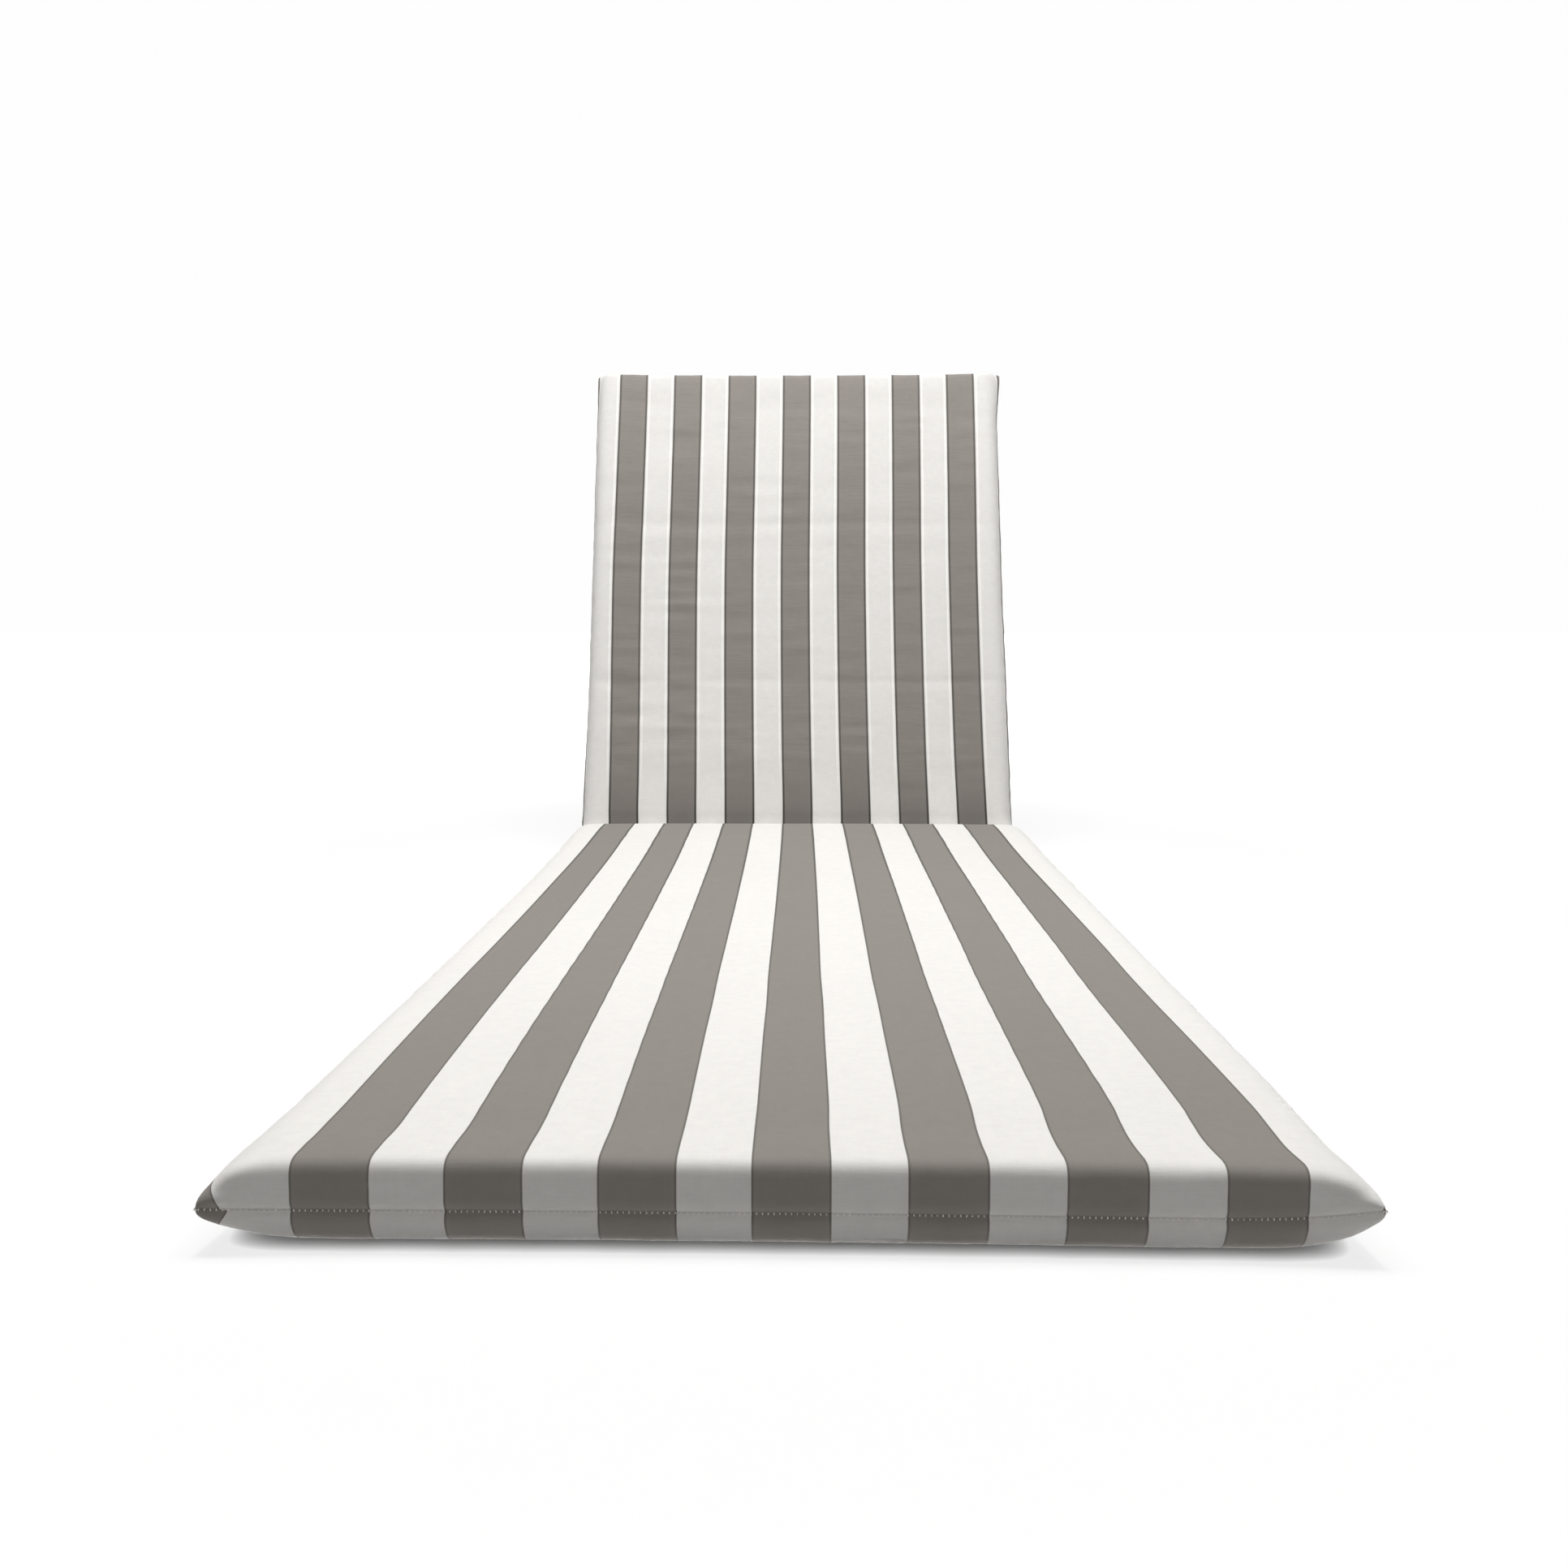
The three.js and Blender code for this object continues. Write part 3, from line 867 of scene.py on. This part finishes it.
def striped_canvas(look):
    """Woven outdoor canvas with lengthwise stripes, placed by where each point is on the cloth, with painted
    shade along the seam and over the fold and painted light towards the head.
    """
    material, tree, surface = new_material("striped_canvas")
    across = read_attribute(tree, "across")
    along = read_attribute(tree, "along")
    half = look.dark_width / 2
    wrapped = add_math(tree, "WRAP", across, look.stripe_period / 2, -look.stripe_period / 2)
    from_middle = add_math(tree, "ABSOLUTE", wrapped)
    light = add_ramp(tree, from_middle, half - STRIPE_EDGE, half + STRIPE_EDGE)
    dark = add_math(tree, "SUBTRACT", 1.0, light)
    far = add_ramp(tree, along, 0.0, SEAT_LENGTH)
    scale = add_math(tree, "MULTIPLY_ADD", far, LINE_SCALE_AT_FOLD - 1, 1.0)
    from_edge = add_math(tree, "MULTIPLY", add_math(tree, "SUBTRACT", from_middle, half), scale)
    dark_line = add_line(tree, from_edge, DARK_LINE_AT)
    bright_line = add_line(tree, from_edge, BRIGHT_LINE_AT)
    # Painted shade along the seam, in its groove
    seam_painted_shade = add_ramp(tree, read_attribute(tree, "from_seam"), *SEAM_SHADE_EDGES)
    on_back = add_ramp(tree, along, BEND_END, BEND_END + BACK_STARTS)
    # Painted light: the dark stripes lighter towards the head, where the back is lit more
    head_painted_light = add_ramp(tree, along, PAINTED_LIGHT_FROM, SEAT_LENGTH + BACK_LENGTH)
    # Painted shade: the dark stripes darker towards the fold, over the last stretch above it
    above_fold = add_ramp(tree, along, FOLD_AT, FOLD_AT + FOLD_LINE)
    fold_painted_shade = add_math(tree, "MULTIPLY", above_fold, add_ramp(tree, along, FOLD_AT + FOLD_SHADE, FOLD_AT))
    streaks = add_slub(tree, across, along, 15 * MM, 1.1 * MM)
    cross_streaks = add_slub(tree, along, across, 22 * MM, 1.0 * MM)

    place = tree.nodes.new("ShaderNodeCombineXYZ")
    tree.links.new(across, place.inputs[0])
    tree.links.new(along, place.inputs[1])
    mottling = add_noise(tree, place.outputs[0], scale=110.0, detail=4.0, roughness=0.65)
    cloud = add_noise(tree, place.outputs[0], scale=7.0, detail=3.0)

    stripes = add_colour_mix(tree, light, look.dark_colour, look.light_colour)
    shade = 1.0
    for part, where, amount in (
        (dark_line, 1.0, SHADES["dark_line"]),
        (dark_line, far, SHADES["dark_line_at_fold"]),
        (bright_line, on_back, SHADES["bright_line"]),
        (head_painted_light, dark, SHADES["head"]),
        (fold_painted_shade, dark, SHADES["fold"]),
        (seam_painted_shade, 1.0, SHADES["seam_painted_shade"]),
    ):
        shade = add_math(tree, "MULTIPLY_ADD", add_math(tree, "MULTIPLY", part, where), amount, shade)
    for source, amount in ((streaks, 0.10), (cross_streaks, 0.06), (mottling, 0.12), (cloud, 0.06)):
        part = add_math(tree, "MULTIPLY_ADD", source, amount, 1.0 - amount / 2)
        shade = add_math(tree, "MULTIPLY", shade, part)
    tree.links.new(add_scaled(tree, stripes, shade), surface.inputs["Base Color"])

    turn = math.tau / (2 * look.yarn_pitch)
    warp = add_math(tree, "SINE", add_math(tree, "MULTIPLY", across, turn))
    weft = add_math(tree, "SINE", add_math(tree, "MULTIPLY", along, turn))
    weave = add_math(tree, "MULTIPLY", warp, weft)
    height = add_math(tree, "ADD", streaks, cross_streaks)
    height = add_math(tree, "MULTIPLY_ADD", weave, WEAVE_HEIGHT, height)
    wrinkles = add_slub(tree, across, along, 40 * MM, 6 * MM)
    wrinkles = add_math(tree, "MULTIPLY", wrinkles, on_back)
    share = add_math(tree, "MULTIPLY_ADD", light, WRINKLES_IN_LIGHT - 1, 1.0)
    wrinkles = add_math(tree, "MULTIPLY", wrinkles, share)
    height = add_math(tree, "MULTIPLY_ADD", wrinkles, WRINKLE_HEIGHT, height)
    bump = tree.nodes.new("ShaderNodeBump")
    bump.inputs["Strength"].default_value = 0.35
    bump.inputs["Distance"].default_value = 0.25 * MM
    tree.links.new(height, bump.inputs["Height"])
    tree.links.new(bump.outputs["Normal"], surface.inputs["Normal"])
    tree.links.new(add_math(tree, "MULTIPLY_ADD", streaks, 0.16, 0.80), surface.inputs["Roughness"])
    surface.inputs["Sheen Weight"].default_value = 0.08
    surface.inputs["Sheen Roughness"].default_value = 0.6
    surface.inputs["Specular IOR Level"].default_value = 0.25
    return material


def sewing_thread(look):
    """Spun thread, a little uneven along its length."""
    material, tree, surface = new_material("sewing_thread")
    place = tree.nodes.new("ShaderNodeTexCoord")
    parts = tree.nodes.new("ShaderNodeSeparateXYZ")
    tree.links.new(place.outputs["Object"], parts.inputs[0])
    streaks = add_slub(tree, parts.outputs["X"], parts.outputs["Z"], 2 * MM, 0.4 * MM)
    shade = add_math(tree, "MULTIPLY_ADD", streaks, 0.3, 0.85)
    colour = tree.nodes.new("ShaderNodeRGB")
    colour.outputs[0].default_value = (*look.thread_colour, 1.0)
    tree.links.new(add_scaled(tree, colour.outputs[0], shade), surface.inputs["Base Color"])
    tree.links.new(add_math(tree, "MULTIPLY_ADD", streaks, 0.2, 0.6), surface.inputs["Roughness"])
    surface.inputs["Sheen Weight"].default_value = 0.1
    return material


# Stitches


def stitch_tree(material, seed):
    """Geometry nodes that set a short thread across the seam at every stitch."""
    tree = bpy.data.node_groups.new("Seam Stitches", "GeometryNodeTree")
    add_socket(tree, "Geometry", "NodeSocketGeometry", "INPUT")
    for label in ("Pitch", "Length", "Width"):
        add_socket(tree, label, "NodeSocketFloat", "INPUT")
    add_socket(tree, "Geometry", "NodeSocketGeometry", "OUTPUT")
    nodes, link = tree.nodes, tree.links.new
    inside = nodes.new("NodeGroupInput")
    result = nodes.new("NodeGroupOutput")

    path = nodes.new("GeometryNodeMeshToCurve")
    link(inside.outputs["Geometry"], path.inputs["Mesh"])
    evenly = nodes.new("GeometryNodeResampleCurve")
    evenly.mode = "LENGTH"
    link(path.outputs["Curve"], evenly.inputs["Curve"])
    link(inside.outputs["Pitch"], evenly.inputs["Length"])

    thread = nodes.new("GeometryNodeMeshUVSphere")
    thread.inputs["Segments"].default_value = 8
    thread.inputs["Rings"].default_value = 4
    thread.inputs["Radius"].default_value = 0.5
    smooth = nodes.new("GeometryNodeSetShadeSmooth")
    link(thread.outputs["Mesh"], smooth.inputs["Geometry"])

    crossing = nodes.new("GeometryNodeInputNamedAttribute")
    crossing.data_type = "FLOAT_VECTOR"
    crossing.inputs["Name"].default_value = "crossing"
    tilt = nodes.new("FunctionNodeRandomValue")
    tilt.data_type = "FLOAT_VECTOR"
    tilt.inputs["Min"].default_value = (-STITCH_LEAN,) * 3
    tilt.inputs["Max"].default_value = (STITCH_LEAN,) * 3
    tilt.inputs["Seed"].default_value = seed
    leaning = nodes.new("ShaderNodeVectorMath")
    link(crossing.outputs["Attribute"], leaning.inputs[0])
    link(tilt.outputs["Value"], leaning.inputs[1])
    align = nodes.new("FunctionNodeAlignRotationToVector")
    align.axis = "Z"
    link(leaning.outputs[0], align.inputs["Vector"])

    vary = nodes.new("FunctionNodeRandomValue")
    vary.data_type = "FLOAT"
    for slot, value in zip(vary.inputs[2:4], STITCH_LENGTHS):
        slot.default_value = value
    vary.inputs["Seed"].default_value = seed + 1
    size = nodes.new("ShaderNodeCombineXYZ")
    length = nodes.new("ShaderNodeMath")
    length.operation = "MULTIPLY"
    link(inside.outputs["Length"], length.inputs[0])
    link(vary.outputs[1], length.inputs[1])
    link(inside.outputs["Width"], size.inputs["X"])
    link(inside.outputs["Width"], size.inputs["Y"])
    link(length.outputs[0], size.inputs["Z"])

    place = nodes.new("GeometryNodeInstanceOnPoints")
    link(evenly.outputs["Curve"], place.inputs["Points"])
    link(smooth.outputs["Geometry"], place.inputs["Instance"])
    link(align.outputs["Rotation"], place.inputs["Rotation"])
    link(size.outputs[0], place.inputs["Scale"])
    real = nodes.new("GeometryNodeRealizeInstances")
    link(place.outputs["Instances"], real.inputs["Geometry"])
    paint = nodes.new("GeometryNodeSetMaterial")
    paint.inputs["Material"].default_value = material
    link(real.outputs["Geometry"], paint.inputs["Geometry"])
    link(paint.outputs["Geometry"], result.inputs["Geometry"])
    return tree


def socket_identifier(tree, name):
    return next(
        item.identifier for item in tree.interface.items_tree if item.name == name and item.in_out == "INPUT"
    )


def sew_seam(sizes, look, cushion):
    """Stitches along the seam of the finished cushion, as one plain mesh."""
    places = vertex_places(cushion.data)
    normals = vertex_normals(cushion.data)
    loop = seam_loop()
    out = normals[loop]
    path = places[loop] + out * 0.5 * sizes.groove_depth
    tangent = np.roll(path, -1, axis=0) - np.roll(path, 1, axis=0)
    crossing = np.cross(out, tangent)
    crossing /= np.linalg.norm(crossing, axis=1)[:, None]
    mesh = bpy.data.meshes.new("seam_path")
    order = np.arange(len(loop))
    mesh.from_pydata(path, np.stack((order, np.roll(order, -1)), axis=-1), [])
    attribute = mesh.attributes.new("crossing", "FLOAT_VECTOR", "POINT")
    attribute.data.foreach_set("vector", crossing.astype(np.float32).ravel())
    guide = link_object("seam_path", mesh)
    tree = stitch_tree(sewing_thread(look), seed=4)
    modifier = guide.modifiers.new("stitches", "NODES")
    modifier.node_group = tree
    for label, size in (
        ("Pitch", sizes.stitch_pitch),
        ("Length", sizes.stitch_length),
        ("Width", sizes.thread_width),
    ):
        modifier[socket_identifier(tree, label)] = size
    graph = bpy.context.evaluated_depsgraph_get()
    stitched = bpy.data.meshes.new_from_object(guide.evaluated_get(graph), depsgraph=graph)
    bpy.data.objects.remove(guide)
    return link_object("seam_stitches", stitched)


# Stage


def add_ray_mix(tree, ray, others, chosen):
    """One shader for the rays of a kind and another for all others."""
    seen = tree.nodes.new("ShaderNodeLightPath")
    mix = tree.nodes.new("ShaderNodeMixShader")
    tree.links.new(seen.outputs[ray], mix.inputs["Fac"])
    tree.links.new(others, mix.inputs[1])
    tree.links.new(chosen, mix.inputs[2])
    return mix.outputs[0]


def pale_floor(look):
    """Matt floor that glows to stay pale far from the lights. Ambient occlusion dims its glow into a painted
    contact shadow beside the cushion, and in reflections it glows brighter than it looks.
    """
    material, tree, surface = new_material("studio_floor")
    place = tree.nodes.new("ShaderNodeTexCoord")
    away = tree.nodes.new("ShaderNodeVectorMath")
    away.operation = "LENGTH"
    tree.links.new(place.outputs["Object"], away.inputs[0])
    grain = add_noise(tree, place.outputs["Object"], scale=30.0)
    shade = add_math(tree, "MULTIPLY_ADD", grain, 0.02, 0.98)
    colour = tree.nodes.new("ShaderNodeRGB")
    colour.outputs[0].default_value = (*look.floor_colour, 1.0)
    tree.links.new(add_scaled(tree, colour.outputs[0], shade), surface.inputs["Base Color"])
    surface.inputs["Roughness"].default_value = 1.0
    surface.inputs["Specular IOR Level"].default_value = 0.0
    far = add_ramp(tree, away.outputs["Value"], *FLOOR_BRIGHTENS)
    # Painted contact shadow: ambient occlusion dims the floor's glow beside and under the cushion
    contact_occlusion = tree.nodes.new("ShaderNodeAmbientOcclusion")
    contact_occlusion.inputs["Distance"].default_value = look.contact_reach
    glow = add_math(tree, "MULTIPLY_ADD", far, FLOOR_GLOWS_MORE, look.floor_glow)
    left = add_math(tree, "MULTIPLY_ADD", contact_occlusion.outputs["AO"], 1 - GLOW_IN_PAINTED_SHADOW, GLOW_IN_PAINTED_SHADOW)
    tree.links.new(add_math(tree, "MULTIPLY", glow, left), surface.inputs["Emission Color"])
    surface.inputs["Emission Strength"].default_value = 1.0

    dull = tree.nodes.new("ShaderNodeBsdfDiffuse")
    dull.inputs["Color"].default_value = (look.floor_bounce,) * 3 + (1.0,)
    # In reflections the floor glows, though it is no lamp, and lays a painted reflection on the cushion's
    # front that lifts its dark stripes
    shine = tree.nodes.new("ShaderNodeEmission")
    shine.inputs["Strength"].default_value = look.floor_shine
    mirrored = add_ray_mix(tree, "Is Glossy Ray", dull.outputs[0], shine.outputs[0])
    mix = add_ray_mix(tree, "Is Camera Ray", mirrored, surface.outputs[0])
    tree.links.new(mix, tree.nodes["Material Output"].inputs["Surface"])
    return material


def set_world(look):
    """Even fill light from all round, with a white backdrop behind everything."""
    world = bpy.data.worlds.new("studio_sky")
    world.use_nodes = True
    tree = world.node_tree
    fill = tree.nodes["Background"]
    fill.inputs["Color"].default_value = FILL_COLOUR
    fill.inputs["Strength"].default_value = look.sky_strength
    backdrop = tree.nodes.new("ShaderNodeBackground")
    backdrop.inputs["Color"].default_value = BACKDROP_COLOUR
    mix = add_ray_mix(tree, "Is Camera Ray", fill.outputs[0], backdrop.outputs[0])
    tree.links.new(mix, tree.nodes["World Output"].inputs["Surface"])
    bpy.context.scene.world = world


def add_light(name, kind, place, turn, **settings):
    light = bpy.data.lights.new(name, kind)
    for key, value in settings.items():
        setattr(light, key, value)
    holder = link_object(name, light)
    holder.location = place
    holder.rotation_euler = turn


class LOUNGER_OT_make_cushion(bpy.types.Operator):
    """Make the padded striped cushion in place of the plain solid"""

    bl_idname = "lounger.make_cushion"
    bl_label = "Make Padded Cushion"

    def execute(self, context):
        mesh = make_cushion(context.scene.lounger_sizes)
        piece = link_object("padded_cushion", mesh)
        mesh.materials.append(striped_canvas(context.scene.lounger_canvas))
        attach(piece, "root")
        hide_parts("cushion")
        return {"FINISHED"}


class LOUNGER_OT_sew_seam(bpy.types.Operator):
    """Sew the stitches along the seam that joins the two panels"""

    bl_idname = "lounger.sew_seam"
    bl_label = "Sew Seam"

    def execute(self, context):
        cushion = bpy.data.objects["padded_cushion"]
        piece = sew_seam(context.scene.lounger_sizes, context.scene.lounger_canvas, cushion)
        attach(piece, "root")
        return {"FINISHED"}


class LOUNGER_OT_set_stage(bpy.types.Operator):
    """Set the pale floor, the soft lights and the camera"""

    bl_idname = "lounger.set_stage"
    bl_label = "Set Stage"

    def execute(self, context):
        look = context.scene.lounger_studio
        corners = [(FLOOR_HALF * x, FLOOR_HALF * y, 0) for x, y in ((-1, -1), (1, -1), (1, 1), (-1, 1))]
        mesh = bpy.data.meshes.new("studio_floor")
        mesh.from_pydata(corners, [], [(0, 1, 2, 3)])
        mesh.materials.append(pale_floor(look))
        floor = link_object("studio_floor", mesh)
        set_world(look)
        add_light(
            "overhead_light", "SUN", place=(0, 0, 3), turn=(math.radians(-9), 0, 0),
            energy=look.sun_strength, angle=math.radians(8),
        )
        add_light(
            "panel_light", "AREA", place=(0, -0.3, 1.65), turn=(math.radians(28), 0, 0),
            energy=look.panel_power, shape="RECTANGLE", size=1.6, size_y=0.6,
        )
        camera = bpy.data.cameras.new("photo_camera")
        camera.lens = look.lens
        camera.sensor_width = 36.0
        holder = link_object("photo_camera", camera)
        holder.location = look.camera_place
        holder.rotation_euler = (math.pi / 2 - look.camera_pitch, 0, look.camera_yaw)
        context.scene.camera = holder
        context.scene.view_settings.view_transform = "Standard"
        return {"FINISHED"}


class LOUNGER_PT_panel(bpy.types.Panel):
    bl_label = "Sun Lounger Cushion"
    bl_idname = "LOUNGER_PT_panel"
    bl_space_type = "VIEW_3D"
    bl_region_type = "UI"
    bl_category = "Lounger"

    def draw(self, context):
        for operator in OPERATORS:
            self.layout.operator(operator.bl_idname)
        for name in PROPERTY_GROUPS:
            group = getattr(context.scene, name)
            for key in group.bl_rna.properties.keys():
                if key not in ("rna_type", "name"):
                    self.layout.prop(group, key)


OPERATORS = (LOUNGER_OT_make_cushion, LOUNGER_OT_sew_seam, LOUNGER_OT_set_stage)
PROPERTY_GROUPS = {
    "lounger_sizes": LoungerCushionSizes,
    "lounger_canvas": StripedCanvasLook,
    "lounger_studio": StudioLook,
}


def register():
    for item in (*PROPERTY_GROUPS.values(), *OPERATORS, LOUNGER_PT_panel):
        bpy.utils.register_class(item)
    for name, group in PROPERTY_GROUPS.items():
        setattr(bpy.types.Scene, name, bpy.props.PointerProperty(type=group))


def unregister():
    for name in PROPERTY_GROUPS:
        delattr(bpy.types.Scene, name)
    for item in (LOUNGER_PT_panel, *reversed(OPERATORS), *reversed(PROPERTY_GROUPS.values())):
        bpy.utils.unregister_class(item)


def main():
    register()
    bpy.ops.lounger.make_cushion()
    bpy.ops.lounger.sew_seam()
    bpy.ops.lounger.set_stage()


if __name__ == "__main__":
    main()
